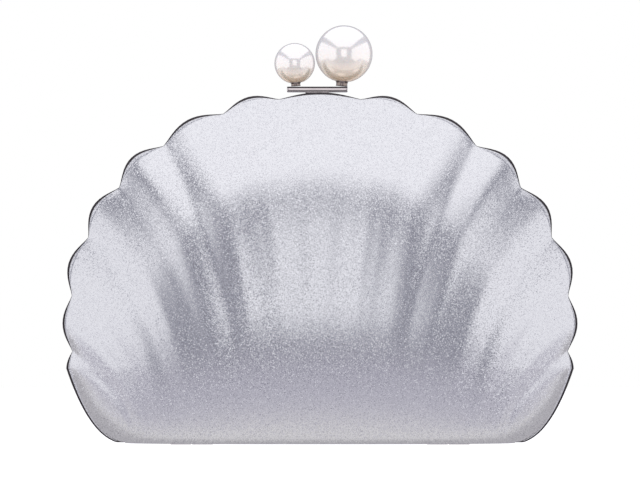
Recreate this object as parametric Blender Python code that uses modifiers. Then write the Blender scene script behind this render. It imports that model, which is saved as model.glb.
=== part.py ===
# Evening bag: a hard, scalloped clutch that hinges at its base and shuts with a two-pearl clasp.
# Units are metres, +Z is up and the front faces -Y. The bag is shut. The two halves meet at y = 0.
import math

import bmesh
import bpy
import numpy as np
from mathutils import Matrix, Vector

MM = 0.001

# driving dimensions, in millimetres
BASE_Z = 1.1  # underside of both halves, and the level of the hinge pins
ARCH_HALF_WIDTH = 96.9  # ellipse through the valleys between the scallops
ARCH_HALF_HEIGHT = 87.4
ARCH_CENTRE_Z = 48.0
VALLEYS = [9.4, 22.8, 38.8, 53.5, 68.1, 83.4, 97.6]  # degrees round the ellipse from its top
SCALLOPS = [0.8, 2.55, 2.85, 3.75, 3.35, 3.05, 2.25]  # how far each stands out, from the top
SHOULDER = (97.7, 30.0)  # where the last scallop ends and the lower corner starts
CORNER_PULL = (88.3, 1.1)
CORNER_END = (75.5, 1.1)
CORNER_SHARE = 0.86  # the covers stop at this share of the corner, where they are almost flat
FLUTE_FEET = [6.0, 17.0, 29.0, 42.0, 55.0, 65.0, 71.0]  # where each valley's flute meets the base
DOME = 24.0  # bulge of each half beyond its frame
BASE_DEPTH = 14.4  # reach of the flat base beyond its frame
CREASE = 2.3  # height of the sloping edge between base and dome
DOME_Z = 56.0  # height of the dome's highest point
GAP = 0.15  # from the mid-plane to each frame
FRAME_DEPTH = 3.7
FRAME_INSIDE = 1.5  # how far the frame reaches in from the scallops
FRAME_PROUD = 0.75
CLEAR = 0.3  # gap between pieces that touch
COVER_T, SHELL_T, LINING_T = 0.6, 1.2, 0.5
HINGE_X = 50.0
KNUCKLE_R, BORE_R, PIN_R = 1.1, 0.53, 0.45
KNUCKLE_LEN, KNUCKLE_SPACE = 8.0, 0.5
LARGE_PEARL = (9.35, 152.2, 11.1)  # x, z, radius
SMALL_PEARL = (-9.85, 148.5, 7.9)
ARM_X = (-12.9, 10.8)
ARM_Z = (137.35, 139.35)

for old in list(bpy.data.objects):
    bpy.data.objects.remove(old, do_unlink=True)
bag = bpy.data.collections.new("evening_bag")
cutters = bpy.data.collections.new("cutters")
for group in (bag, cutters):
    bpy.context.scene.collection.children.link(group)


def paint(name, colour, metallic, roughness):
    made = bpy.data.materials.new(name)
    made.use_nodes = True
    made.diffuse_color = (*colour, 1)
    shader = made.node_tree.nodes["Principled BSDF"]
    shader.inputs["Base Color"].default_value = (*colour, 1)
    shader.inputs["Metallic"].default_value = metallic
    shader.inputs["Roughness"].default_value = roughness
    return made


PAINTS = {
    "lurex": ((0.70, 0.69, 0.73), 0.2, 0.5),
    "board": ((0.55, 0.50, 0.44), 0.0, 0.8),
    "gunmetal": ((0.16, 0.14, 0.15), 1.0, 0.25),
    "satin": ((0.60, 0.58, 0.62), 0.0, 0.4),
    "steel": ((0.62, 0.58, 0.56), 1.0, 0.3),
    "pearl": ((0.93, 0.90, 0.87), 0.0, 0.15),
}


def finish(made, name, paint_name, smooth=True, into=bag):
    """Name a mesh or object, give it a material of its own and weld its seams."""
    if not isinstance(made, bpy.types.Object):
        mesh = bpy.data.meshes.new(name)
        bmesh.ops.remove_doubles(made, verts=made.verts, dist=0.00001)
        bmesh.ops.recalc_face_normals(made, faces=made.faces)
        made.to_mesh(mesh)
        made.free()
        made = bpy.data.objects.new(name, mesh)
        into.objects.link(made)
    made.name = made.data.name = name
    if paint_name:
        made.data.materials.append(paint(name + "_paint", *PAINTS[paint_name]))
    for face in made.data.polygons:
        face.use_smooth = smooth
    return made


def patch(rows):
    """A mesh from a grid of points, in millimetres."""
    made = bmesh.new()
    verts = [[made.verts.new(Vector(p) * MM) for p in row] for row in rows]
    for below, above in zip(verts, verts[1:]):
        for k in range(len(below) - 1):
            made.faces.new((below[k], below[k + 1], above[k + 1], above[k]))
    return made


def ring_patch(loops):
    """A closed mesh from loops of points, each joined to the next and the last to the first."""
    made = bmesh.new()
    verts = [[made.verts.new(Vector(p) * MM) for p in loop] for loop in loops]
    for here, after in zip(verts, verts[1:] + verts[:1]):
        for k in range(len(here)):
            j = (k + 1) % len(here)
            made.faces.new((here[k], here[j], after[j], after[k]))
    return made


def thicken(obj, thickness, inward):
    """Give a patch thickness with Solidify. inward is the side of its faces that it grows on."""
    grown = obj.modifiers.new("thickness", "SOLIDIFY")
    grown.thickness = thickness * MM
    grown.offset = -1 if inward else 1


# ---- the outline


def on_arch(angle, inset=0.0):
    a = math.radians(angle)
    return np.array([
        (ARCH_HALF_WIDTH - inset) * math.sin(a),
        ARCH_CENTRE_Z + (ARCH_HALF_HEIGHT - inset) * math.cos(a),
    ])


def corner(u):
    p0, p1, p2 = np.array(SHOULDER), np.array(CORNER_PULL), np.array(CORNER_END)
    return (1 - u) ** 2 * p0 + 2 * u * (1 - u) * p1 + u * u * p2


def flute_place(lobe, u):
    """Signed place along the row of flutes, in lobes from the middle of the centre lobe."""
    return 0.5 * (2 * u - 1) if lobe == 0 else lobe - 0.5 + u


def half_outline(steps, end_steps, corner_steps, scalloped=True):
    """The right half from the top middle: (x, z, place, bulge of the flute), per column."""
    rows = []
    for lobe in range(7):
        low = VALLEYS[lobe - 1] if lobe else -VALLEYS[0]
        for k in range(steps):
            u = k / steps
            if lobe == 0 and u < 0.5 - 1e-9:
                continue
            round_ = max(math.sin(math.pi * u), 0.0) ** 1.25
            angle = low + (VALLEYS[lobe] - low) * u
            p = on_arch(angle, -SCALLOPS[lobe] * round_ if scalloped else 0.0)
            rows.append((*p, flute_place(lobe, u), round_))
    start, stop = on_arch(VALLEYS[-1]), np.array(SHOULDER)
    for k in range(end_steps):
        u = k / end_steps
        round_ = math.sin(math.pi * u / 2) ** 1.25
        p = start + (stop - start) * u + np.array([0.9, 0.1]) * round_ * (1 - u)
        rows.append((*p, 6.5 + u * 0.5, round_))
    for k in range(corner_steps):
        u = k / (corner_steps - 1)
        rows.append((*corner(u * CORNER_SHARE), 7.0 + u, 1.0 - 0.5 * u))
    return rows


def outline(steps, end_steps, corner_steps, scalloped=True):
    right = half_outline(steps, end_steps, corner_steps, scalloped)
    left = [(-x, z, -place, r) for x, z, place, r in reversed(right)]
    return left[:-1] + right if abs(right[0][0]) < 1e-6 else left + right


def foot_of(place):
    """Where the flute line from this place on the rim meets the crease above the base."""
    feet = [0.0] + FLUTE_FEET + [72.9, 75.6]
    marks = [0.0] + [0.5 + k for k in range(7)] + [7.0, 8.0]
    return math.copysign(float(np.interp(abs(place), marks, feet)), place)


def smooth_outline():
    """The arch, corners and base without scallops, for the dome's fullness."""
    right = [on_arch(a, -2.6) for a in np.linspace(0, 97, 40)]
    right += [corner(u) for u in np.linspace(0, 1, 12)]
    right += [np.array([x, BASE_Z]) for x in np.linspace(72, 0, 20)]
    return right


EDGE = smooth_outline()
EDGE_ANGLE = [math.atan2(p[0], p[1] - DOME_Z) for p in EDGE]
EDGE_REACH = [math.hypot(p[0], p[1] - DOME_Z) for p in EDGE]


def half_width(z):
    """Half the width of the smooth outline at this height, up to the middle of the dome."""
    rows = sorted((p[1], p[0]) for p in EDGE[20:52])
    return float(np.interp(z, [r[0] for r in rows], [r[1] for r in rows]))


def fullness(x, z, inset):
    """Depth of the plain dome beyond its frame at this place in the front view."""
    top = DOME - inset
    if z >= DOME_Z:
        angle = math.atan2(abs(x), z - DOME_Z)
        reach = float(np.interp(angle, EDGE_ANGLE, EDGE_REACH)) - inset
        rho = min(math.hypot(x, z - DOME_Z) / reach, 1.0)
        side = math.sin(angle) ** 2
        rim = min(max((rho - 0.6) / 0.4, 0), 1)
        power = 0.75 + 0.1 * side + (0.25 - 0.1 * side) * rim * rim * (3 - 2 * rim)
        return top * max(1 - rho ** (2.4 + 0.2 * side), 0) ** power
    low = min((DOME_Z - z) / (DOME_Z - BASE_Z - CREASE), 1.0)
    v = min(abs(x) / (half_width(z) - inset), 1.0)
    crown = top - (top - BASE_DEPTH + inset) * low ** 1.9
    rim = min(max((v - 0.6) / 0.4, 0), 1)
    power = 0.85 - 0.3 * low ** 3 + 0.15 * rim * rim * (3 - 2 * rim) * (1 - low) ** 2
    return crown * max(1 - v ** (2.6 + 1.1 * low ** 3), 0) ** power


def dish(columns, rows, inset=0.0, flute=1.0, rim=None, shrink=None):
    """A grid for one half's front: from the rim, down the flutes, to the base and its frame.

    rim is the depth of its edge from the mid-plane. Depth is positive here: the front is turned
    to -Y at the end. shrink pulls the rim in, towards the middle of the bag.
    """
    rim = rim if rim is not None else GAP + FRAME_DEPTH + CLEAR
    lines = []
    for x, z, place, round_ in columns:
        pull = inset if shrink is None else shrink
        centre = np.array([0.0, DOME_Z])
        edge = np.array([x, z])
        edge = edge + (centre - edge) / np.linalg.norm(centre - edge) * pull * 1.1
        floor_z = BASE_Z + inset
        taper = 1 - 0.8 * min(max(abs(place) - 6.6, 0) / 1.4, 1)
        foot = np.array([foot_of(place) * (1 - pull * 0.012), floor_z + CREASE * taper])
        edge[1] = max(edge[1], foot[1] + 0.12)
        middle = np.array([foot[0], BASE_Z + 0.62 * (edge[1] - BASE_Z)])
        middle[0] += (edge[0] - foot[0]) * 0.12
        line = []
        for k in range(rows + 1):
            t = (k / rows) ** 1.35
            p = (1 - t) ** 2 * edge + 2 * t * (1 - t) * middle + t * t * foot
            depth = fullness(p[0], p[1], inset)
            away = 1 - math.exp(-math.dist(p, edge) / 1.5)
            depth *= away
            fade = math.exp(-t * 4.0) * away
            depth -= flute * (1.2 * fade + 0.17 * math.sin(math.pi * t)) * (1 - round_)
            line.append((p[0], rim + max(depth, 0.0), p[1]))
        line.insert(0, (edge[0], rim, edge[1]))
        line[1] = (edge[0], rim + 0.8, edge[1])
        reach = max(line[-1][1] - rim, 1.0)
        line[-1] = (foot[0], rim + reach, foot[1])
        out = max(reach - CREASE * 0.55 * taper, 0.6)
        line.append((foot[0] * 0.998, rim + out, floor_z))
        line.append((foot[0] * 0.994, rim, floor_z))
        lines.append(line)
    return lines


def turned(lines, side):
    """side is -1 for the front half and +1 for the rear half."""
    return [[(x, side * y, z) for x, y, z in line] for line in lines]


def build_dish(name, paint_name, side, columns, rows, thickness, **how):
    made = patch(turned(dish(columns, rows, **how), side))
    obj = finish(made, name, paint_name)
    middle = max(obj.data.polygons, key=lambda f: abs(f.center.y))
    thicken(obj, thickness, middle.normal.y * side > 0)
    # the two ends run out to almost nothing in the lower corners, so the wall thins there
    full = obj.vertex_groups.new(name="full_thickness")
    for k, vert in enumerate(obj.data.vertices):
        near_end = max(abs(vert.co.x) / MM - 70.0, 0) / 6 * (vert.co.z < 0.0068)
        full.add([k], max(1 - near_end, 0.0), "REPLACE")
    obj.modifiers["thickness"].vertex_group = "full_thickness"
    obj.modifiers["thickness"].thickness_vertex_group = 0.12
    return obj


# ---- the two halves

FINE = outline(4, 2, 4)
PLAIN = outline(2, 1, 4, scalloped=False)


def frame_outline():
    top = outline(5, 2, 5)
    close = [(*corner(u), 8.0, 0.4) for u in (0.93, 1.0)]
    return [(-x, z, -place, r) for x, z, place, r in reversed(close)] + top + close


def frame_ring(offset, depth):
    """A closed loop round the frame, offset out from the scallops, in order."""
    top = frame_outline()
    base_x = np.linspace(CORNER_END[0], -CORNER_END[0], 9)[1:-1]
    points = [np.array(p[:2]) for p in top] + [np.array([x, BASE_Z]) for x in base_x]
    proud = [p[3] for p in top] + [0.0] * len(base_x)
    loop = []
    for k, p in enumerate(points):
        along = points[(k + 1) % len(points)] - points[k - 1]
        out = np.array([-along[1], along[0]]) / np.linalg.norm(along)
        share = offset * (0.2 + 0.8 * proud[k]) if offset > 0 else offset
        q = p + out * share
        q[1] = max(q[1], BASE_Z) if offset > 0 else max(q[1], BASE_Z - offset)
        loop.append((q[0], depth, q[1]))
    return loop


def build_frame(name, side):
    near, far = side * GAP, side * (GAP + FRAME_DEPTH)
    soft = 0.35
    loops = [
        frame_ring(FRAME_PROUD - soft, near),
        frame_ring(FRAME_PROUD, near + side * soft),
        frame_ring(FRAME_PROUD, far),
        frame_ring(-FRAME_INSIDE, far),
        frame_ring(-FRAME_INSIDE, near),
    ]
    return finish(ring_patch(loops), name, "gunmetal")


halves = {}
for half, side in (("front", -1), ("rear", 1)):
    halves[half] = build_frame(half + "_frame", side)
    build_dish(half + "_cover", "lurex", side, FINE, 4, COVER_T)
    build_dish(half + "_shell", "board", side, FINE, 4, SHELL_T, inset=1.9, shrink=1.7)
    build_dish(
        half + "_lining", "satin", side, PLAIN, 3, LINING_T,
        inset=4.3, shrink=4.0, flute=0.0, rim=GAP + 0.9,
    )

# slip pocket: a satin patch that stands a little off the rear lining
pocket_rows = []
for k in range(6):
    z = 30 + 38 * k / 5
    wide = 36 + 2 * math.sin(math.pi * k / 5)
    pocket_rows.append([
        (x, GAP + 0.9 + fullness(x, z, 4.3) * 0.9 - 3.6, z)
        for x in np.linspace(-wide, wide, 9)
    ])
thicken(finish(patch(pocket_rows), "rear_pocket", "satin"), 0.4, True)


# gussets: each a V-folded strip in the mid-plane, deeper towards its top
def gusset(name, sign):
    rows = []
    for k in range(9):
        angle = 62 + 60 * k / 8
        edge = on_arch(min(angle, 101.9), 4.6)
        if angle > 101.9:
            u = (angle - 101.9) / (122 - 101.9) * 0.62
            edge = corner(u) + np.array([-5.2, 3.4])
        inner = np.array([0.0, 30.0]) - edge
        inner /= np.linalg.norm(inner)
        fold = 0.5 * (edge[1] - BASE_Z)  # deep enough to let the halves part by 60 degrees
        row = []
        for share, depth in ((0, -0.72), (0.5, -0.55), (1, 0.0), (0.5, 0.55), (0, 0.72)):
            p = edge + inner * fold * share
            row.append((sign * p[0], depth, p[1]))
        rows.append(row)
    thicken(finish(patch(rows), name, "satin"), 0.25, sign > 0)


gusset("left_gusset", -1)
gusset("right_gusset", 1)


# ---- hinges


def tube(r_out, r_in, x0, x1, sides=16):
    """Loops for a tube along X at the hinge line, its bore included."""
    loops = []
    for x, r in ((x0, r_out), (x1, r_out), (x1, r_in), (x0, r_in)):
        ring = []
        for k in range(sides):
            a = 2 * math.pi * (k + 0.5) / sides
            ring.append((x, r * math.cos(a), BASE_Z + r * math.sin(a)))
        loops.append(ring)
    return loops


def slab(x0, x1, y0, y1, z0, z1):
    made = bmesh.new()
    bmesh.ops.create_cube(made, size=1.0)
    centre = Vector(((x0 + x1) / 2, (y0 + y1) / 2, (z0 + z1) / 2)) * MM
    size = Matrix.Diagonal((abs(x1 - x0) * MM, abs(y1 - y0) * MM, abs(z1 - z0) * MM, 1))
    bmesh.ops.transform(made, matrix=Matrix.Translation(centre) @ size, verts=made.verts)
    return made


def combine(base, tool, operation):
    join = base.modifiers.new(operation.lower(), "BOOLEAN")
    join.object, join.operation, join.solver = tool, operation, "EXACT"


def as_cutter(obj):
    obj.hide_render, obj.display_type = True, "WIRE"
    return obj


FRAME_TOP = BASE_Z + FRAME_INSIDE
LEAF_Z = (FRAME_TOP + CLEAR, FRAME_TOP + CLEAR + 0.6)
for where, centre in (("left", -HINGE_X), ("right", HINGE_X)):
    reach = KNUCKLE_LEN + KNUCKLE_SPACE
    notch = finish(
        slab(centre - reach, centre + reach, -1.7, 1.7, -1, FRAME_TOP + 1),
        where + "_notch", None, False, cutters,
    )
    for half in ("front", "rear"):
        combine(halves[half], as_cutter(notch), "DIFFERENCE")
    for half, side, x0 in (
        ("front", -1, centre - KNUCKLE_SPACE / 2 - KNUCKLE_LEN),
        ("rear", 1, centre + KNUCKLE_SPACE / 2),
    ):
        x1 = x0 + KNUCKLE_LEN
        leaf = finish(
            ring_patch(tube(KNUCKLE_R, BORE_R, x0, x1)), f"{where}_{half}_leaf", "steel", False
        )
        web = finish(
            slab(x0 + 0.1, x1 - 0.1, side * 0.65, side * 1.05, BASE_Z + 0.5, LEAF_Z[0] + 0.3),
            f"{where}_{half}_web", None, False, cutters,
        )
        plate = finish(
            slab(x0, x1, side * 0.6, side * 3.7, *LEAF_Z),
            f"{where}_{half}_plate", None, False, cutters,
        )
        combine(leaf, as_cutter(web), "UNION")
        combine(leaf, as_cutter(plate), "UNION")
        for n, x in enumerate((x0 + 1.8, x1 - 1.8)):
            place = Vector((x, side * 2.75, LEAF_Z[1] + 0.02)) * MM
            head = bmesh.new()
            bmesh.ops.create_cone(
                head, cap_ends=True, segments=12, radius1=0.75 * MM, radius2=0.4 * MM,
                depth=0.4 * MM, matrix=Matrix.Translation(place + Vector((0, 0, 0.2 * MM))),
            )
            finish(head, f"{where}_{half}_rivet_{n + 1}", "steel")
    pin = bmesh.new()
    span = 2 * KNUCKLE_LEN + KNUCKLE_SPACE
    bmesh.ops.create_cone(
        pin, cap_ends=True, segments=16, radius1=PIN_R * MM, radius2=PIN_R * MM, depth=span * MM,
        matrix=Matrix.Translation(Vector((centre, 0, BASE_Z)) * MM) @ Matrix.Rotation(math.pi / 2, 4, "Y"),
    )
    finish(pin, where + "_hinge_pin", "steel")


# ---- clasp: the front arm carries the small pearl, the rear arm the large one


def lathe(name, paint_name, profile, place, tilt, sides):
    """Turn an (r, z) profile, in millimetres, round an upright axis at place."""
    mesh = bpy.data.meshes.new(name)
    points = [(r * MM, 0, z * MM) for r, z in profile]
    mesh.from_pydata(points, [(k, k + 1) for k in range(len(points) - 1)], [])
    obj = bpy.data.objects.new(name, mesh)
    bag.objects.link(obj)
    turn = obj.modifiers.new("turn", "SCREW")
    turn.steps = turn.render_steps = sides
    turn.use_merge_vertices, turn.merge_threshold = True, 0.00001
    turn.use_normal_flip = True
    turn.use_smooth_shade = True
    obj.location = Vector(place) * MM
    obj.rotation_euler = (0, tilt, 0)
    return finish(obj, name, paint_name)


def ball(radius, from_z, rings):
    """Half-circle profile from the axis at the bottom, cut flat at from_z, to the top."""
    low = math.asin(from_z / radius)
    points = [(0.0, from_z)]
    for k in range(rings + 1):
        a = low + (math.pi / 2 - low) * k / rings
        points.append((radius * math.cos(a) if k < rings else 0.0, radius * math.sin(a)))
    return points


for half, side, label, (px, pz, radius) in (
    ("front", -1, "small", SMALL_PEARL), ("rear", 1, "large", LARGE_PEARL),
):
    near, far = side * 0.25, side * 2.75
    x0, x1 = ARM_X
    arm = finish(slab(x0, x1, near, far, *ARM_Z), half + "_clasp_arm", "steel", False)
    lug = finish(
        slab(-5.8, 3.6, near + side * 0.2, far - side * 0.2, ARM_Z[0] - 0.1, ARM_Z[0] + 0.5),
        half + "_lug", None, False, cutters,
    )
    combine(arm, as_cutter(lug), "UNION")
    foot_x = -9.4 if side < 0 else 8.4
    tilt = math.atan2(px - foot_x, pz - ARM_Z[1])
    lean = Vector((math.sin(tilt), 0, math.cos(tilt)))
    middle = Vector((px, 0, pz))
    sit = radius - 0.5
    cup_r = 1.95 if side < 0 else 2.4
    base_gap = (pz - ARM_Z[1]) / math.cos(tilt)
    deep = base_gap - sit
    # cup: a short turned dish between the arm and the pearl
    cup_profile = [
        (0.0, -base_gap + CLEAR + 0.15), (cup_r * 0.55, -base_gap + CLEAR + 0.15),
        (cup_r, -sit - 0.55), (cup_r, -sit - 0.25), (0.0, -sit - 0.25),
    ]
    lathe(label + "_cup", "steel", cup_profile, middle, tilt, 16)
    lathe(label + "_pearl", "pearl", ball(radius, -sit, 9), middle, tilt, 18)
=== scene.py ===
# Looks for the evening bag: cloth covers, frames, linings, gussets, clasp, pearls and the studio.
import math

import bmesh
import bpy
import numpy as np
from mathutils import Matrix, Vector


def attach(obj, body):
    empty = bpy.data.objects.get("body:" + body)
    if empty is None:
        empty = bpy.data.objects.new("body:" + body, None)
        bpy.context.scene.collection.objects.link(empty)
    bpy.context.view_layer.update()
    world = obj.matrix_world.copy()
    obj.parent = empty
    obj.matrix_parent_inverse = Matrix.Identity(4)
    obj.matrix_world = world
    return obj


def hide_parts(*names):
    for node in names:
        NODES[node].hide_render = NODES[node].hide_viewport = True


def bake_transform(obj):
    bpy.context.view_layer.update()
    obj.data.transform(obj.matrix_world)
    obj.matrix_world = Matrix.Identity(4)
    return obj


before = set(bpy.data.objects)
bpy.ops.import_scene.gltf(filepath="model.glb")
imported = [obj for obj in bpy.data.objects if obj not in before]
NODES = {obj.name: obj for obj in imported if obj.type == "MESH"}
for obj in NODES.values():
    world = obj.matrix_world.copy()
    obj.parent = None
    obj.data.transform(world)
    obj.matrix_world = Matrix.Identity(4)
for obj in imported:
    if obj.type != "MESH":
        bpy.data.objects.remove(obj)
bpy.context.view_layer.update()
MM = 0.001
YARN_REPEAT = 0.00042  # metres from one float of the cloth's weave to the next

# ---- the bag's own proportions, in millimetres
BASE_Z = 1.1
ARCH = (96.9, 87.4, 48.0)  # half-width, half-height and centre height of the arch of valleys
VALLEYS = [9.4, 22.8, 38.8, 53.5, 68.1, 83.4, 97.6]
SCALLOPS = [0.8, 2.55, 2.85, 3.75, 3.35, 3.05, 2.25]
SHOULDER, CORNER_PULL, CORNER_END = (97.7, 30.0), (88.3, 1.1), (75.5, 1.1)
CORNER_SHARE = 0.86
FLUTE_FEET = [6.0, 17.0, 29.0, 42.0, 55.0, 65.0, 71.0]
DOME, BASE_DEPTH, CREASE, DOME_Z = 24.0, 14.4, 2.3, 56.0
GAP, FRAME_DEPTH, FRAME_INSIDE, FRAME_PROUD = 0.15, 3.7, 1.5, 0.92
COVER_RIM = GAP + FRAME_DEPTH + 0.15
LINING_RIM = GAP + 0.9
HINGE_X = 50.0
NOTCH = (0.0170, 0.0034, 0.0084)  # metres: the room in the rims for each pair of knuckles
STRIP_Z, STRIP_REACH = 5.35, 1.12  # the hinge strip's height and half its width between its seams
BAR_TOP, FOOT_X = 139.35, {"front": -9.4, "rear": 8.4}  # where the cups stand on the clasp bars


# ---------------------------------------------------------------- materials


class Nodes:
    """Short-hand for building one material's nodes."""

    def __init__(self, name, **principled):
        self.material = bpy.data.materials.new(name)
        self.material.use_nodes = True
        self.tree = self.material.node_tree
        self.shader = self.tree.nodes["Principled BSDF"]
        for key, value in principled.items():
            self.set(key.replace("_", " "), value)

    def set(self, socket, value):
        self.shader.inputs[socket].default_value = value

    def add(self, kind, **values):
        made = self.tree.nodes.new("ShaderNode" + kind)
        for key, value in values.items():
            if hasattr(made, key):
                setattr(made, key, value)
            else:
                made.inputs[key.replace("_", " ")].default_value = value
        return made

    def link(self, a, b):
        self.tree.links.new(a, b)

    def math(self, operation, a, b=None, clamp=False):
        made = self.add("Math", operation=operation, use_clamp=clamp)
        for socket, value in zip(made.inputs, (a, b)):
            if value is None:
                continue
            if isinstance(value, (int, float)):
                socket.default_value = value
            else:
                self.link(value, socket)
        return made.outputs[0]

    def place(self, scale=1.0):
        """Object coordinates times scale."""
        coords = self.add("TexCoord")
        mapping = self.add("Mapping")
        mapping.inputs["Scale"].default_value = (
            scale if isinstance(scale, tuple) else (scale,) * 3
        )
        self.link(coords.outputs["Object"], mapping.inputs["Vector"])
        return mapping.outputs[0]

    def noise(self, scale, detail=2.0, roughness=0.5, stretch=(1, 1, 1)):
        made = self.add("TexNoise", Scale=scale, Detail=detail, Roughness=roughness)
        self.link(self.place(stretch), made.inputs["Vector"])
        return made.outputs["Fac"]

    def ramp(self, fac, stops):
        made = self.add("ValToRGB")
        band = made.color_ramp
        while len(band.elements) < len(stops):
            band.elements.new(0.5)
        for element, (at, colour) in zip(band.elements, stops):
            element.position = at
            element.color = (*colour, 1) if isinstance(colour, tuple) else (colour,) * 3 + (1,)
        self.link(fac, made.inputs["Fac"])
        return made.outputs["Color"]

    def mix(self, fac, a, b, blend="MIX"):
        made = self.add("Mix", data_type="RGBA", blend_type=blend)
        for socket, value in ((made.inputs[0], fac), (made.inputs[6], a), (made.inputs[7], b)):
            if isinstance(value, (int, float)):
                socket.default_value = value
            elif isinstance(value, tuple):
                socket.default_value = (*value, 1)
            else:
                self.link(value, socket)
        return made.outputs[2]

    def bump(self, height, strength, distance, under=None):
        made = self.add("Bump", Strength=strength, Distance=distance)
        self.link(height, made.inputs["Height"])
        if under is not None:
            self.link(under, made.inputs["Normal"])
        return made.outputs[0]


def lurex():
    """Silver lame: fine plain weave of flat metallic yarn, with a sparkling grain."""
    m = Nodes("silver_lurex", Metallic=1.0, Roughness=0.17)
    uv = m.add("UVMap", uv_map="weave")
    across = m.add("SeparateXYZ")
    m.link(uv.outputs[0], across.inputs[0])
    pitch = 1 / YARN_REPEAT
    warp = m.math("SINE", m.math("MULTIPLY", across.outputs[0], pitch * math.pi * 2))
    weft = m.math("SINE", m.math("MULTIPLY", across.outputs[1], pitch * math.pi * 2))
    weave = m.math("MULTIPLY", warp, weft)
    grain = m.add("TexVoronoi", Scale=4100.0)
    m.link(uv.outputs[0], grain.inputs["Vector"])
    slub = m.add("TexNoise", Scale=1.0, Detail=3.0, Roughness=0.6)
    stretched = m.add("Mapping")
    stretched.inputs["Scale"].default_value = (1400, 90, 1)
    m.link(uv.outputs[0], stretched.inputs["Vector"])
    m.link(stretched.outputs[0], slub.inputs["Vector"])
    cloud = m.noise(24.0, 3.0, 0.55)
    apart = m.add("SeparateColor")
    m.link(grain.outputs["Color"], apart.inputs[0])
    tone = m.ramp(apart.outputs[0], [
        (0.0, (0.58, 0.575, 0.60)), (0.30, (0.83, 0.828, 0.835)), (1.0, (0.94, 0.938, 0.94)),
    ])
    tone = m.mix(m.math("MULTIPLY", slub.outputs["Fac"], 0.22), tone, (0.86, 0.858, 0.87))
    tone = m.mix(m.math("MULTIPLY", cloud, 0.12), tone, (0.72, 0.71, 0.76))
    m.link(tone, m.shader.inputs["Base Color"])
    height = m.math("ADD", m.math("MULTIPLY", weave, 0.35), m.math("MULTIPLY", slub.outputs["Fac"], 0.5))
    threads = m.bump(height, 0.12, 0.00010)
    tilt = m.add("VectorMath", operation="SUBTRACT")  # each fleck of the yarn lies at its own tilt
    m.link(grain.outputs["Color"], tilt.inputs[0])
    tilt.inputs[1].default_value = (0.5, 0.5, 0.5)
    much = m.add("VectorMath", operation="SCALE")
    m.link(tilt.outputs[0], much.inputs[0])
    steep = m.math("MULTIPLY_ADD", m.math("POWER", apart.outputs[2], 3.0), 0.42)
    steep.node.inputs[2].default_value = 0.05
    m.link(steep, much.inputs["Scale"])
    turned = m.add("VectorMath", operation="ADD")
    m.link(threads, turned.inputs[0])
    m.link(much.outputs[0], turned.inputs[1])
    unit = m.add("VectorMath", operation="NORMALIZE")
    m.link(turned.outputs[0], unit.inputs[0])
    m.link(unit.outputs[0], m.shader.inputs["Normal"])
    return m.material


def satin(name, colour, deep):
    """Woven satin: a soft directional sheen, fine floats and faint creases."""
    m = Nodes(name, Metallic=0.0, Roughness=0.36)
    m.set("Sheen Weight", 0.35)
    m.set("Sheen Roughness", 0.4)
    m.set("Anisotropic", 0.4)
    threads = m.noise(1.0, 2.0, 0.5, (2600, 2600, 260))
    cloud = m.noise(30.0, 3.0, 0.5)
    tone = m.mix(cloud, deep, colour)
    tone = m.mix(m.math("MULTIPLY", threads, 0.25), tone, (0.93, 0.92, 0.95))
    m.link(tone, m.shader.inputs["Base Color"])
    m.link(m.ramp(threads, [(0.3, 0.30), (0.7, 0.46)]), m.shader.inputs["Roughness"])
    fine = m.bump(threads, 0.15, 0.00006)
    m.link(m.bump(m.noise(55.0, 4.0, 0.55), 0.25, 0.0006, fine), m.shader.inputs["Normal"])
    return m.material


def metal(name, colour, dark, roughness):
    """Polished metal: fine brushing, and a finish that is a little worn in patches."""
    m = Nodes(name, Metallic=1.0, Roughness=roughness)
    patchy = m.noise(160.0, 4.0, 0.6)
    brushed = m.noise(1.0, 2.0, 0.6, (120, 2400, 2400))
    m.link(m.mix(m.math("MULTIPLY", patchy, 0.3), colour, dark), m.shader.inputs["Base Color"])
    low, high = roughness * 0.75, min(roughness * 1.5 + 0.04, 1)
    m.link(m.ramp(patchy, [(0.35, low), (0.7, high)]), m.shader.inputs["Roughness"])
    m.link(m.bump(brushed, 0.05, 0.00003), m.shader.inputs["Normal"])
    return m.material


def pearl(name):
    """Pearl lacquer: a warm white body under a glossy coat, with painted warm reflection and shade
    towards its seat and a faint painted glow.
    """
    m = Nodes(name, Metallic=0.45, Roughness=0.16)
    split = m.add("SeparateXYZ")
    spot = m.add("TexCoord")
    m.link(spot.outputs["Generated"], split.inputs[0])
    # painted reflection and shade: the body turns from near white at the top to cream and peach at the
    # bottom, where it faces its warm seat
    body = m.ramp(split.outputs[2], [
        (0.0, (0.86, 0.62, 0.40)), (0.14, (0.95, 0.80, 0.64)), (0.40, (0.99, 0.93, 0.87)),
        (0.7, (1.0, 0.97, 0.95)), (1.0, (1.0, 0.98, 0.97)),
    ])
    orient = m.noise(90.0, 3.0, 0.5)
    body = m.mix(m.math("MULTIPLY", orient, 0.18), body, (0.95, 0.84, 0.82))
    m.link(body, m.shader.inputs["Base Color"])
    # painted glow: the same colour, painted reflection included, is emitted faintly, so the pearl lights
    # itself without a lamp
    m.link(body, m.shader.inputs["Emission Color"])
    m.set("Emission Strength", 0.2)
    m.set("Subsurface Weight", 0.2)
    m.set("Subsurface Radius", (0.0014, 0.0010, 0.0008))
    m.set("Specular IOR Level", 0.6)
    m.set("Sheen Weight", 0.35)
    m.set("Sheen Roughness", 0.35)
    m.set("Sheen Tint", (1.0, 0.90, 0.80, 1))
    m.set("Coat Weight", 0.8)
    m.set("Coat Roughness", 0.06)
    m.set("Coat IOR", 1.65)
    m.link(m.bump(m.noise(500.0, 2.0, 0.5), 0.02, 0.0001), m.shader.inputs["Normal"])
    return m.material


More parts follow.
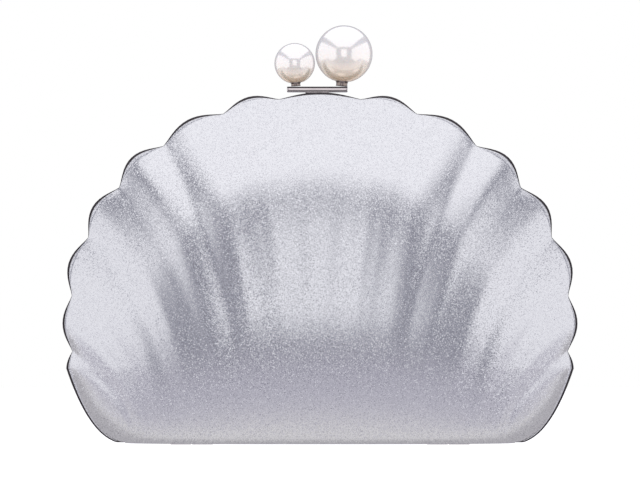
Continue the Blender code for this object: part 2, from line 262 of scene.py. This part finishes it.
def board():
    """Pressed fibre board, wrapped edge to edge: pale, matt and slightly fibrous."""
    m = Nodes("pressed_board", Roughness=0.8)
    fibre = m.noise(1.0, 4.0, 0.6, (700, 700, 160))
    m.link(m.mix(fibre, (0.66, 0.65, 0.67), (0.80, 0.79, 0.80)), m.shader.inputs["Base Color"])
    m.link(m.bump(fibre, 0.3, 0.0001), m.shader.inputs["Normal"])
    return m.material


LUREX = lurex()
SATIN = satin("silver_satin", (0.74, 0.72, 0.76), (0.62, 0.60, 0.65))
GUNMETAL = metal("polished_gunmetal", (0.075, 0.066, 0.07), (0.035, 0.03, 0.032), 0.14)
NICKEL = metal("polished_nickel", (0.80, 0.73, 0.71), (0.60, 0.52, 0.50), 0.17)
PEARL = pearl("pearl_lacquer")
SEAT = metal("shaded_nickel", (0.40, 0.33, 0.29), (0.24, 0.19, 0.16), 0.16)
BOARD = board()
THREAD = satin("lining_thread", (0.86, 0.85, 0.88), (0.78, 0.77, 0.80))


# ---------------------------------------------------------------- meshes


def make(name, verts, faces, material, uvs=None):
    """A smooth piece from points in millimetres."""
    mesh = bpy.data.meshes.new(name)
    mesh.from_pydata([tuple(float(c) * MM for c in v) for v in verts], [], faces)
    mesh.validate()
    made = bpy.data.objects.new(name, mesh)
    bpy.context.scene.collection.objects.link(made)
    mesh.materials.append(material)
    for face in mesh.polygons:
        face.use_smooth = True
    if uvs is not None:
        layer = mesh.uv_layers.new(name="weave")
        for loop in mesh.loops:
            layer.data[loop.index].uv = uvs[loop.vertex_index]
    return made


def weld(obj):
    """Joins the seam of a closed grid and turns its faces outwards."""
    held = bmesh.new()
    held.from_mesh(obj.data)
    bmesh.ops.remove_doubles(held, verts=held.verts, dist=0.000002)
    bmesh.ops.recalc_face_normals(held, faces=held.faces)
    held.to_mesh(obj.data)
    held.free()


def paint_node(name, material):
    NODES[name].data.materials.clear()
    NODES[name].data.materials.append(material)


def ride_and_replace(made, node):
    """The piece rides on its node's half of the bag and stands in for the node."""
    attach(made, node.split("_")[0] + "_half")
    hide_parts(node)
    return made


def grid(lines, flip=False, close=False):
    """Vertices and quads for a grid of points given as columns."""
    count = len(lines[0])
    verts = [p for line in lines for p in line]
    faces = []
    pairs = len(lines) if close else len(lines) - 1
    for i in range(pairs):
        j = (i + 1) % len(lines)
        for k in range(count - 1):
            quad = (i * count + k, j * count + k, j * count + k + 1, i * count + k + 1)
            faces.append(quad[::-1] if flip else quad)
    return verts, faces


# ---------------------------------------------------------------- outline and dome


def on_arch(angle, inset=0.0):
    a = math.radians(angle)
    return np.array([
        (ARCH[0] - inset) * math.sin(a), ARCH[2] + (ARCH[1] - inset) * math.cos(a),
    ])


def corner(u):
    p0, p1, p2 = np.array(SHOULDER), np.array(CORNER_PULL), np.array(CORNER_END)
    return (1 - u) ** 2 * p0 + 2 * u * (1 - u) * p1 + u * u * p2


def half_outline(steps, end_steps, corner_steps, scalloped=True):
    """The right half from the top: x, z, place in lobes, swell of the lobe, and place across it."""
    rows = []
    for lobe in range(7):
        low = VALLEYS[lobe - 1] if lobe else -VALLEYS[0]
        for k in range(steps):
            u = k / steps
            if lobe == 0 and u < 0.5 - 1e-9:
                continue
            swell = max(math.sin(math.pi * u), 0.0) ** 1.25
            angle = low + (VALLEYS[lobe] - low) * u
            p = on_arch(angle, -SCALLOPS[lobe] * swell if scalloped else 0.0)
            place = 0.5 * (2 * u - 1) if lobe == 0 else lobe - 0.5 + u
            rows.append((*p, place, swell, 2 * u - 1))
    start, stop = on_arch(VALLEYS[-1]), np.array(SHOULDER)
    for k in range(end_steps):
        u = k / end_steps
        swell = math.sin(math.pi * u / 2) ** 1.25
        p = start + (stop - start) * u + np.array([0.9, 0.1]) * swell * (1 - u)
        rows.append((*p, 6.5 + u * 0.5, swell, u - 1))
    for k in range(corner_steps):
        u = k / (corner_steps - 1)
        rows.append((*corner(u * CORNER_SHARE), 7.0 + u, 1.0 - 0.5 * u, 0.5 * u))
    return rows


def outline(steps, end_steps, corner_steps, scalloped=True):
    """The whole edge from the left corner over the top to the right one, in half_outline's rows."""
    right = half_outline(steps, end_steps, corner_steps, scalloped)
    left = [(-x, z, -place, r, -c) for x, z, place, r, c in reversed(right)]
    return left[:-1] + right


def foot_of(place):
    """Where along the base the line from this place on the edge comes down."""
    feet = [0.0] + FLUTE_FEET + [72.9, 75.6]
    marks = [0.0] + [0.5 + k for k in range(7)] + [7.0, 8.0]
    return math.copysign(float(np.interp(abs(place), marks, feet)), place)


EDGE = [on_arch(a, -2.6) for a in np.linspace(0, 97, 60)]
EDGE += [corner(u) for u in np.linspace(0, 1, 24)]
EDGE += [np.array([x, BASE_Z]) for x in np.linspace(72, 0, 30)]
EDGE_ANGLE = [math.atan2(p[0], p[1] - DOME_Z) for p in EDGE]
EDGE_REACH = [math.hypot(p[0], p[1] - DOME_Z) for p in EDGE]


def half_width(z):
    """Half the width of the smooth outline at this height."""
    rows = sorted((p[1], p[0]) for p in EDGE[20:84])
    return float(np.interp(z, [r[0] for r in rows], [r[1] for r in rows]))


WIDTH_Z = np.linspace(BASE_Z, DOME_Z + 1, 120)
WIDTHS = [half_width(z) for z in WIDTH_Z]


def fullness(x, z, inset):
    """Depth of the plain dome beyond its frame at this place in the front view."""
    top = DOME - inset
    if z >= DOME_Z:
        angle = math.atan2(abs(x), z - DOME_Z)
        reach = float(np.interp(angle, EDGE_ANGLE, EDGE_REACH)) - inset
        rho = min(math.hypot(x, z - DOME_Z) / reach, 1.0)
        side = math.sin(angle) ** 2
        rim = min(max((rho - 0.6) / 0.4, 0), 1)
        power = 0.75 + 0.1 * side + (0.25 - 0.1 * side) * rim * rim * (3 - 2 * rim)
        return top * max(1 - rho ** (2.4 + 0.2 * side), 0) ** power
    low = min((DOME_Z - z) / (DOME_Z - BASE_Z - CREASE), 1.0)
    v = min(abs(x) / (float(np.interp(z, WIDTH_Z, WIDTHS)) - inset), 1.0)
    crown = top - (top - BASE_DEPTH + inset) * low ** 1.9
    rim = min(max((v - 0.6) / 0.4, 0), 1)
    power = 0.85 - 0.3 * low ** 3 + 0.15 * rim * rim * (3 - 2 * rim) * (1 - low) ** 2
    return crown * max(1 - v ** (2.6 + 1.1 * low ** 3), 0) ** power


def flute_line(x, z, place, cross, rows, inset, flute, rim, pull):
    """One line from the rim down a flute to the crease: points and their share of the way."""
    edge = np.array([x, z])
    inward = np.array([0.0, DOME_Z]) - edge
    edge = edge + inward / np.linalg.norm(inward) * pull * 1.1
    floor_z = BASE_Z + inset
    taper = 1 - 0.8 * min(max(abs(place) - 6.6, 0) / 1.4, 1)
    foot = np.array([foot_of(place) * (1 - pull * 0.012), floor_z + CREASE * taper])
    edge[1] = max(edge[1], foot[1] + 0.12)
    middle = np.array([foot[0], BASE_Z + 0.62 * (edge[1] - BASE_Z)])
    middle[0] += (edge[0] - foot[0]) * 0.12
    line = [(edge[0], rim, edge[1])]
    for k in range(rows + 1):
        t = (k / rows) ** 1.35
        p = (1 - t) ** 2 * edge + 2 * t * (1 - t) * middle + t * t * foot
        depth = fullness(p[0], p[1], inset)
        away = math.dist(p, edge)
        depth *= 1 - math.exp(-away / 1.3)
        depth -= flute(t, place, cross) * (1 - math.exp(-away / 2.5))
        line.append((p[0], rim + max(depth, 0.3), p[1]))
    return line, taper, floor_z


def cover_flute(t, place, cross):
    """How far the cloth dips: each flute is a low roof between two creases, deepest at the rim."""
    side = abs(cross)
    groove = math.sqrt(side * side + 0.02) - 0.14 - 0.12 * side ** 6
    groove *= 1 + 0.3 * math.sin(abs(place) * 2.9 + 0.6)
    strong = 0.6 + 0.85 * math.exp(-((abs(place) - 3.1) / 1.3) ** 2)
    belly = (0.13 + 0.020 * abs(place)) * math.sin(math.pi * min(t * 1.05, 1)) ** 0.8
    dip = groove * (strong * math.exp(-t * 3.4) + belly)
    wander = math.sin(place * 7.3 + 1.1) * 0.5 + math.sin(place * 15.1 + 2.0) * 0.5
    dip += 0.05 * wander * math.exp(-((t - 0.35) / 0.3) ** 2)
    return dip


CLOTH_ROWS = 72


def build_cover(name, side, node):
    """The cloth over one half, down over the crease and under to the base."""
    lines = []
    for x, z, place, _, cross in outline(16, 8, 22):
        line, taper, floor_z = flute_line(
            x, z, place, cross, CLOTH_ROWS, 0.0, cover_flute, COVER_RIM, 0.0
        )
        foot = line[-1]
        reach = max(foot[1] - COVER_RIM, 1.0)
        foot = (foot[0], COVER_RIM + reach, foot[2])
        line[-1] = foot
        out = max(reach - CREASE * 0.55 * taper, 0.6)
        for share in (0.08, 0.3, 0.6, 0.85, 0.97):  # the sloping band below the crease
            soft = 0.12 * math.sin(math.pi * share)
            line.append((
                foot[0] * (1 - 0.002 * share),
                COVER_RIM + reach + (out - reach) * share + soft,
                foot[2] + (floor_z - foot[2]) * share,
            ))
        for share in (0, 0.05, 0.3, 0.65, 1.0):
            line.append((
                foot[0] * (0.998 - 0.004 * share), COVER_RIM + out * (1 - share), floor_z,
            ))
        lines.append([(p[0], side * p[1], p[2]) for p in line])
    verts, faces = grid(lines, flip=side < 0)
    uvs = []
    for line in lines:
        run = 0.0
        for k, p in enumerate(line):
            if k:
                run += math.dist(p, line[k - 1])
            uvs.append((p[0] * MM, (p[2] if k < CLOTH_ROWS + 2 else -run) * MM))
    made = make(name, verts, faces, LUREX, uvs)
    return ride_and_replace(made, node)


def build_board(half, side):
    """The pressed board under the cloth, whose flutes follow the cloth's."""
    lines = []
    for x, z, place, _, cross in outline(8, 4, 12):
        line, taper, floor_z = flute_line(
            x, z, place, cross, 30, 1.7, cover_flute, COVER_RIM - 0.2, 1.7
        )
        foot = line[-1]
        out = max(foot[1] - COVER_RIM - CREASE * 0.55 * taper, 0.6)
        line.append((foot[0] * 0.998, COVER_RIM + out, floor_z))
        line.append((foot[0] * 0.994, COVER_RIM, floor_z))
        lines.append([(p[0], side * p[1], p[2]) for p in line])
    verts, faces = grid(lines, flip=side < 0)
    made = make(half + "_board", verts, faces, BOARD)
    wall = made.modifiers.new("wall", "SOLIDIFY")
    wall.thickness, wall.offset = 0.0008, -1
    ride_and_replace(made, half + "_shell")


def frame_path():
    """The rim's closed path: the scalloped edge, both corners and the straight base."""
    top = outline(14, 7, 20)
    close = [(*corner(u), 8.0, 0.4, 0) for u in np.linspace(CORNER_SHARE, 1.0, 6)[1:]]
    top = [(-p[0], *p[1:]) for p in reversed(close)] + top + close
    base = [(x, BASE_Z, 8.0, 0.0, 0) for x in np.linspace(CORNER_END[0], -CORNER_END[0], 60)[1:-1]]
    return top + base


def build_frame(name, side, node):
    """The metal rim: a rounded band round the outline, notched where the hinges sit."""
    path = frame_path()
    count = len(path)
    section = []  # (how far out, depth from the mid-plane)
    soft = 0.3
    for a in np.linspace(0, 90, 5):
        r = math.radians(a)
        section.append((FRAME_PROUD - soft + soft * math.sin(r), GAP + soft - soft * math.cos(r)))
    for a in np.linspace(0, 90, 5):
        r = math.radians(a)
        section.append((
            FRAME_PROUD - soft + soft * math.cos(r),
            GAP + FRAME_DEPTH - soft + soft * math.sin(r),
        ))
    section += [(-FRAME_INSIDE, GAP + FRAME_DEPTH), (-FRAME_INSIDE, GAP)]
    lines = []
    for k in range(count):
        here, after, before = (np.array(path[j % count][:2]) for j in (k, k + 1, k - 1))
        along = after - before
        out = np.array([-along[1], along[0]]) / np.linalg.norm(along)
        line = []
        for reach, depth in section + section[:1]:
            share = reach * (0.2 + 0.8 * path[k][3]) if reach > 0 else reach
            q = here + out * share
            q[1] = max(q[1], BASE_Z) if reach > 0 else max(q[1], BASE_Z - reach)
            line.append((q[0], side * depth, q[1]))
        lines.append(line)
    verts, faces = grid(lines, flip=side > 0, close=True)
    made = make(name, verts, faces, GUNMETAL)
    weld(made)
    for x in (-HINGE_X, HINGE_X):
        bpy.ops.mesh.primitive_cube_add(size=1, location=(x * MM, 0, BASE_Z * MM))
        block = bpy.context.object
        block.scale = NOTCH
        cut = made.modifiers.new("notch", "BOOLEAN")
        cut.object, cut.operation, cut.solver = block, "DIFFERENCE", "EXACT"
        bpy.context.view_layer.objects.active = made
        bpy.ops.object.modifier_apply(modifier="notch")
        bpy.data.objects.remove(block)
    ride_and_replace(made, node)


def build_lip():
    """A thin tongue inside the rear rim that laps behind the front rim while the bag is shut."""
    lines = []
    path = [p for p in outline(8, 4, 10) if abs(p[2]) < 7.6]
    for k, here in enumerate(path):
        after, before = path[min(k + 1, len(path) - 1)], path[max(k - 1, 0)]
        along = np.array(after[:2]) - np.array(before[:2])
        out = np.array([-along[1], along[0]]) / np.linalg.norm(along)
        ring = []
        for reach, y in ((1.62, 2.4), (1.62, -0.55), (1.68, -0.66), (1.80, -0.70), (1.92, -0.66),
                         (1.98, -0.55), (1.98, 2.4), (1.62, 2.4)):
            q = np.array(here[:2]) - out * reach
            ring.append((q[0], y, q[1]))
        lines.append(ring)
    verts, faces = grid(lines)
    for k in (0, len(lines) - 1):
        faces.append(tuple(range(k * 8, k * 8 + 7))[:: 1 if k else -1])
    made = make("rear_lip", verts, faces, GUNMETAL)
    weld(made)
    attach(made, "rear_half")


def tube_along(name, points, radius, lobes, twist):
    """A satin cord along points; lobes and twist give it the lay of a twisted cord."""
    sides = 10
    points = [Vector(p) for p in points]
    count = len(points)
    lines, run, before = [], 0.0, None
    for k, p in enumerate(points):
        ahead = points[k + 1] if k + 1 < count else p
        behind = points[k - 1] if k else p
        along = (ahead - behind).normalized()
        if before is None:
            before = along.cross(Vector((0, 1, 0))).normalized()
        side = (before - along * before.dot(along)).normalized()
        up = along.cross(side)
        before = side
        if k:
            run += (p - points[k - 1]).length
        ring = []
        for j in range(sides + 1):
            a = 2 * math.pi * j / sides
            r = radius * (1 + 0.10 * math.cos(lobes * (a + twist * run)))
            ring.append(tuple(p + side * (r * math.cos(a)) + up * (r * math.sin(a))))
        lines.append(ring)
    verts, faces = grid(lines)
    for ring in (0, count - 1):
        start = ring * (sides + 1)
        cap = tuple(range(start, start + sides))
        faces.append(cap if ring else cap[::-1])
    made = make(name, verts, faces, SATIN)
    weld(made)
    return made


def lining_flute(t, place, cross):
    """Small radial puckers where the satin is drawn over the board's edge."""
    pucker = math.sin(place * 23.0) * 0.6 + math.sin(place * 41.0 + 1.3) * 0.4
    slack = math.sin(place * 9.0 + 2.0 * t) * math.sin(math.pi * min(t * 1.2, 1)) ** 2
    return 0.30 * pucker * math.exp(-t * 9.0) + 0.14 * slack


def build_lining(half, side):
    """The satin-covered dish inside one half, and the piping round its edge."""
    lines = []
    for x, z, place, _, cross in outline(14, 7, 16, False):
        line, taper, floor_z = flute_line(
            x, z, place, cross, 44, 4.1, lining_flute, LINING_RIM, 3.8
        )
        foot = line[-1]
        reach = max(foot[1] - LINING_RIM, 1.0)
        for share in (0.3, 0.7, 1.0):
            line.append((
                foot[0] * (1 - 0.002 * share), LINING_RIM + reach - CREASE * 0.5 * taper * share,
                foot[2] + (floor_z - foot[2]) * share,
            ))
        out = line[-1][1] - LINING_RIM
        for share in (0.15, 0.4, 0.7, 1.0):
            line.append((foot[0] * (0.998 - 0.004 * share), LINING_RIM + out * (1 - share), floor_z))
        lines.append([(p[0], side * p[1], p[2]) for p in line])
    verts, faces = grid(lines, flip=side > 0)
    made = make(half + "_satin", verts, faces, SATIN)
    cloth = made.modifiers.new("cloth", "SOLIDIFY")
    cloth.thickness, cloth.offset = 0.00025, -1
    ride_and_replace(made, half + "_lining")
    rim = [Vector(line[0]) + Vector((0, side * 0.15, 0)) for line in lines]
    piping = tube_along(half + "_piping", rim, 0.55, lobes=3, twist=0.9)
    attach(piping, half + "_half")
    return made, piping


def lining_wall(x, z):
    """Where the rear lining lies at this place in the front view."""
    return LINING_RIM + fullness(x, z, 4.1)


def build_pocket():
    """A slip pocket: a satin patch a little off the lining, with a turned hem and stitched sides."""
    low, high, wide = 30.0, 68.0, 37.0
    lines = []
    for u in np.linspace(-1, 1, 72):
        line = []
        for v in np.linspace(0, 1, 40):
            x = u * (wide + 1.2 * math.sin(math.pi * v))
            z = low + (high - low) * v - 1.2 * (1 - u * u) * v ** 3
            gap = 3.1 * (1 - abs(u) ** 6) * (0.12 + 0.88 * math.sin(math.pi * v / 2)) + 0.25
            ruffle = 0.20 * math.sin(u * 16 + 1) * v ** 2 * (1 - abs(u) ** 4)
            line.append((x, lining_wall(x, z) - gap - ruffle, z))
        lines.append(line)
    verts, faces = grid(lines, flip=False)
    patch = make("pocket_satin", verts, faces, SATIN)
    cloth = patch.modifiers.new("cloth", "SOLIDIFY")
    cloth.thickness, cloth.offset = 0.0003, 0
    ride_and_replace(patch, "rear_pocket")
    hem = tube_along("pocket_hem", [line[-1] for line in lines], 0.5, lobes=2, twist=0.25)
    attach(hem, "rear_half")
    verts, faces = [], []
    path = [line[0] for line in lines[1:-1]]
    path = [lines[0][k] for k in range(37, -1, -1)] + path + [lines[-1][k] for k in range(38)]
    run, due = 0.0, 0.0
    for k in range(1, len(path)):
        a, b = Vector(path[k - 1]), Vector(path[k])
        length = (b - a).length
        while due <= run + length:
            along = (b - a).normalized()
            inward = Vector((-a.x, 0, 50 - a.z)).normalized()
            middle = a + along * (due - run) + inward * 1.3 + Vector((0, -0.28, 0))
            middle.y = lining_wall(middle.x, middle.z) - 0.62 - 0.3 * (abs(middle.x) < 35)
            start = len(verts)
            for s, w in ((-0.75, 0.05), (-0.4, 0.17), (0.4, 0.17), (0.75, 0.05)):
                spot = middle + along * s
                for j in range(6):
                    t = 2 * math.pi * j / 6
                    verts.append(tuple(
                        spot + inward * (w * math.cos(t)) + Vector((0, w * 0.7 * math.sin(t), 0))
                    ))
            for ring in range(3):
                for j in range(6):
                    n = (j + 1) % 6
                    q = start + ring * 6
                    faces.append((q + j, q + n, q + 6 + n, q + 6 + j))
            due += 2.3
        run += length
    stitches = make("pocket_stitches", verts, faces, THREAD)
    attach(stitches, "rear_half")
    return patch, hem, stitches


def build_gusset(name, sign, node):
    """A V-folded satin strip between the halves."""
    lines = []
    for k in range(90):
        u = k / 89
        angle = 62 + 60 * u
        edge = on_arch(min(angle, 101.9), 4.6)
        if angle > 101.9:
            edge = corner((angle - 101.9) / 20.1 * 0.62) + np.array([-5.2, 3.4])
            if angle < 108:
                share = (angle - 101.9) / 6.1
                edge = edge * share + on_arch(angle, 4.6) * (1 - share)
        inner = np.array([0.0, 30.0]) - edge
        inner /= np.linalg.norm(inner)
        fold = 0.5 * (edge[1] - BASE_Z)
        line = []
        for share in np.linspace(-1, 1, 33):
            reach = 1 - abs(share)
            depth = 0.80 * share
            crinkle = math.sin(u * 34 + 5 * reach) * 0.6 + math.sin(u * 71 + 2) * 0.4
            depth += 0.016 * crinkle * math.sin(math.pi * reach) ** 0.7
            p = edge + inner * fold * reach * (1 + 0.01 * math.sin(u * 40))
            line.append((sign * p[0], depth, p[1]))
        lines.append(line)
    verts, faces = grid(lines, flip=sign < 0)
    made = make(name, verts, faces, SATIN)
    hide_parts(node)
    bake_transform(made)
    return made


def build_hinge_strip():
    """The strip of satin that joins the two linings over the hinges, and folds down between them."""
    lines = []
    for x in np.linspace(-80, 80, 132):
        drop = 1 - 0.45 * min(max((abs(x) - 66) / 7.5, 0), 1.2) ** 2
        climb = 3.7 * (max(abs(x) - 74.6, 0) / 5.4) ** 1.15  # up the corner to the gusset's foot
        line = []
        for share in np.linspace(-1, 1, 17):
            sag = (1 - share * share) ** 0.8
            low = STRIP_Z + climb - 1.25 * sag * drop
            line.append((x, STRIP_REACH * share, low + 0.05 * math.sin(x * 0.9) * sag))
        seam = STRIP_Z + climb  # its allowance is tucked under each lining
        rear = [(x, 2.0, seam - 0.15), (x, 2.9, seam - 0.35)]
        front = [(x, -y, z) for x, y, z in reversed(rear)]
        lines.append(front + line + rear)
    verts, faces = grid(lines, flip=False)
    made = make("hinge_strip", verts, faces, SATIN)
    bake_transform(made)
    return made


covers, linings = {}, {}
for half, side in (("front", -1), ("rear", 1)):
    covers[half] = build_cover(half + "_cloth", side, half + "_cover")
    build_frame(half + "_rim", side, half + "_frame")
    linings[half] = build_lining(half, side)
    build_board(half, side)
build_lip()
pocket = build_pocket()
gussets = [
    build_gusset("left_gusset_satin", -1, "left_gusset"),
    build_gusset("right_gusset_satin", 1, "right_gusset"),
]
build_hinge_strip()
for name, node in NODES.items():
    if "rivet" in name or "leaf" in name or "pin" in name and "hinge" in name:
        paint_node(name, NICKEL)


def bar(name, x0, x1, near, far, z0, z1, material, body):
    """A polished clasp bar with rounded edges and softened ends."""
    mid, half = (z0 + z1) / 2, (z1 - z0) / 2
    soft, lines = min(0.28, half * 0.6), []
    profile = []  # (depth, height) once round the bar
    lo, hi = min(near, far), max(near, far)
    for cy, cz, a0 in ((hi - soft, half - soft, 0), (lo + soft, half - soft, 90),
                       (lo + soft, -half + soft, 180), (hi - soft, -half + soft, 270)):
        if a0 == 0 or a0 == 180:
            sign = 1 if a0 == 0 else -1
            wall = hi if a0 == 0 else lo
            for rise in (-0.34, -0.16, 0.16, 0.34):
                profile.append((wall, sign * rise * half * 1.6))
        for a in np.linspace(a0, a0 + 90, 6):
            r = math.radians(a)
            profile.append((cy + soft * math.cos(r), cz + soft * math.sin(r)))
    centre = (lo + hi) / 2
    ends = [(0.0, 0.62), (0.06, 0.80), (0.18, 0.92), (0.4, 1.0)]
    stops = [(x0 + e, s) for e, s in ends]
    stops += [(x, 1.0) for x in np.linspace(x0 + 1, x1 - 1, 24)]
    stops += [(x1 - e, s) for e, s in reversed(ends)]
    for x, share in stops:
        ring = [
            (x, centre + (y - centre) * (0.3 + 0.7 * share), mid + z * (0.3 + 0.7 * share))
            for y, z in profile
        ]
        lines.append(ring + ring[:1])
    verts, faces = grid(lines, flip=True)
    count = len(profile) + 1
    faces.append(tuple(range(count - 1)))
    last = (len(lines) - 1) * count
    faces.append(tuple(range(last + count - 2, last - 1, -1)))
    made = make(name, verts, faces, material)
    weld(made)
    made.data.set_sharp_from_angle(angle=math.radians(38))
    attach(made, body)
    return made


def turned(name, profile, place, lean, body, material):
    """An (r, z) profile turned round an axis at place that leans towards +X by lean."""
    sides = 40
    axis = Vector((math.sin(lean), 0, math.cos(lean)))
    out = Vector((math.cos(lean), 0, -math.sin(lean)))
    lines = []
    for j in range(sides):
        a = 2 * math.pi * j / sides
        spoke = out * math.cos(a) + Vector((0, math.sin(a), 0))
        lines.append([tuple(Vector(place) + spoke * r + axis * z) for r, z in profile])
    verts, faces = grid(lines, close=True)
    made = make(name, verts, faces, material)
    weld(made)
    made.data.set_sharp_from_angle(angle=math.radians(38))
    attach(made, body)
    return made


def build_clasp(half, side, label, pearl_at):
    """One arm of the kiss-lock: a bar on a lug, and a leaning cup that holds its pearl."""
    body = half + "_half"
    px, pz, radius = pearl_at
    near, far = side * 0.28, side * 2.72
    arm = bar(half + "_clasp_bar", -12.85, 10.75, near, far, 137.30, 138.86, NICKEL, body)
    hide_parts(half + "_clasp_arm")
    bar(
        half + "_clasp_cap", -12.8, 10.7, near + side * 0.04, far - side * 0.04, 138.80, 139.34,
        GUNMETAL, body,
    )
    bar(half + "_clasp_line", -12.6, 10.5, side * 2.1, side * 2.76, 137.62, 138.0, GUNMETAL, body)
    bar(half + "_clasp_lug", -5.7, 3.5, side * 0.5, side * 2.4, 136.9, 137.6, NICKEL, body)
    lean = math.atan2(px - FOOT_X[half], pz - BAR_TOP)
    gap = (pz - BAR_TOP) / math.cos(lean)
    wide = 1.95 if side < 0 else 2.4
    foot, top = -gap + 0.32, -(radius - 0.5) - 0.2
    profile = [
        (0.01, foot), (wide * 0.90, foot), (wide * 0.97, foot + 0.06), (wide * 0.98, foot + 0.22),
        (wide * 0.92, foot + 0.30), (wide * 0.90, foot + 0.45 * (top - foot)),
        (wide * 0.94, foot + 0.75 * (top - foot)), (wide * 1.02, top - 0.05),
        (wide * 1.05, top + 0.06), (wide * 1.03, top + 0.16), (wide * 0.97, top + 0.18),
        (wide * 0.80, top + 0.02), (0.01, top - 0.02),
    ]
    cup = turned(label + "_seat", profile, (px, 0, pz), lean, body, SEAT)
    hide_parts(label + "_cup")


def build_pearl(name, node, half, pearl_at):
    """A pearl bead, flattened where it sits in its cup."""
    px, pz, radius = pearl_at
    lean = math.atan2(px - FOOT_X[half], pz - BAR_TOP)
    steps = 96
    profile = []
    for k in range(steps + 1):
        a = -math.pi / 2 + math.pi * k / steps
        z = radius * math.sin(a)
        profile.append((max(radius * math.cos(a), 0.003), max(z, -radius + 0.5)))
    made = turned(name, profile, (px, 0, pz), lean, half + "_half", PEARL)
    made.visible_glossy = False  # keeps its own image out of the cloth just below it
    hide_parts(node)


LARGE_AT, SMALL_AT = (9.35, 152.2, 11.1), (-9.85, 148.5, 7.9)
build_clasp("front", -1, "small", SMALL_AT)
build_clasp("rear", 1, "large", LARGE_AT)
build_pearl("large_pearl_bead", "large_pearl", "rear", LARGE_AT)
build_pearl("small_pearl_bead", "small_pearl", "front", SMALL_AT)


# ---------------------------------------------------------------- camera and light

CAMERA_FAR = 1.35
target = Vector((0.0, 0.0, 0.0797))
camera_data = bpy.data.cameras.new("camera")
camera = bpy.data.objects.new("camera", camera_data)
bpy.context.scene.collection.objects.link(camera)
camera.location = target + Vector((0, -CAMERA_FAR, 0.0))
camera.rotation_euler = (math.pi / 2, 0, 0)
camera_data.sensor_width = 36
camera_data.lens = 36 * (CAMERA_FAR - 0.012) / 0.2471
bpy.context.scene.camera = camera


def panel(name, centre, facing, width, height, power):
    """A white rectangular soft box."""
    data = bpy.data.lights.new(name, "AREA")
    data.shape, data.size, data.size_y = "RECTANGLE", width, height
    data.energy = power
    made = bpy.data.objects.new(name, data)
    bpy.context.scene.collection.objects.link(made)
    made.location = centre
    made.rotation_euler = (Vector(facing) - Vector(centre)).to_track_quat("-Z", "Y").to_euler()


FOCUS = (0, 0, 0.12)
panel("overhead", (0, -0.35, 1.1), (0, -0.349, 0.1), 2.05, 3.3, 14.6)
panel("left_box", (-1.0, -0.40, 0.10), (0, -0.40, 0.10), 2.5, 1.22, 5.7)
panel("right_box", (1.0, -0.40, 0.10), (0, -0.40, 0.10), 2.5, 1.22, 5.7)
panel("front_box", (0, -1.5, 0.17), FOCUS, 0.60, 0.82, 0.98)

FLOOR_Z = -0.021  # low enough for the open half to swing clear of it


def level_sheet(name, reach, near, far):
    """A flat piece of the stage at the floor's height, reach to each side."""
    mesh = bpy.data.meshes.new(name)
    corners = [(-reach, near), (reach, near), (reach, far), (-reach, far)]
    mesh.from_pydata([(x, y, FLOOR_Z) for x, y in corners], [], [(0, 1, 2, 3)])
    made = bpy.data.objects.new(name, mesh)
    bpy.context.scene.collection.objects.link(made)
    return made


floor = level_sheet("floor", 1.2, -0.19, 1.0)
pale = Nodes("pale_floor", Roughness=0.9)
pale.link(
    pale.mix(pale.noise(3.0), (0.60, 0.60, 0.60), (0.64, 0.64, 0.64)),
    pale.shader.inputs["Base Color"],
)
pale.set("Emission Color", (1, 1, 1, 1))
pale.set("Emission Strength", 0.75)
floor.data.materials.append(pale.material)
floor.visible_glossy = False  # the bag mirrors the card below it instead

card = level_sheet("bounce_card", 0.6, -0.20, 0.4)
card.location.z = 0.0005
glow = Nodes("bounce", Roughness=1.0)
glow.set("Base Color", (0, 0, 0, 1))
split = glow.add("SeparateXYZ")
glow.link(glow.place(), split.inputs[0])
glow.link(
    glow.ramp(glow.math("MULTIPLY", glow.math("ADD", split.outputs[1], 0.2), 5.0), [
        (0.05, (0.38, 0.37, 0.43)), (0.15, (0.40, 0.39, 0.46)), (0.38, (0.46, 0.45, 0.53)),
        (0.60, (0.53, 0.52, 0.59)), (0.77, (0.72, 0.71, 0.72)), (0.845, (0.46, 0.45, 0.48)),
    ]),
    glow.shader.inputs["Emission Color"],
)
glow.set("Emission Strength", 1.0)
card.data.materials.append(glow.material)
card.visible_camera = card.visible_diffuse = card.visible_shadow = False

world = bpy.data.worlds.new("studio")
world.use_nodes = True
ambient = world.node_tree.nodes["Background"]
ambient.inputs[0].default_value = (0.78, 0.79, 0.95, 1)
ambient.inputs[1].default_value = 0.35
white = world.node_tree.nodes.new("ShaderNodeBackground")
white.inputs[0].default_value = (1, 1, 1, 1)
seen = world.node_tree.nodes.new("ShaderNodeLightPath")
either = world.node_tree.nodes.new("ShaderNodeMixShader")
world.node_tree.links.new(seen.outputs["Is Camera Ray"], either.inputs[0])
world.node_tree.links.new(ambient.outputs[0], either.inputs[1])
world.node_tree.links.new(white.outputs[0], either.inputs[2])
world.node_tree.links.new(either.outputs[0], world.node_tree.nodes["World Output"].inputs[0])
bpy.context.scene.world = world
bpy.context.scene.view_settings.view_transform = "Standard"
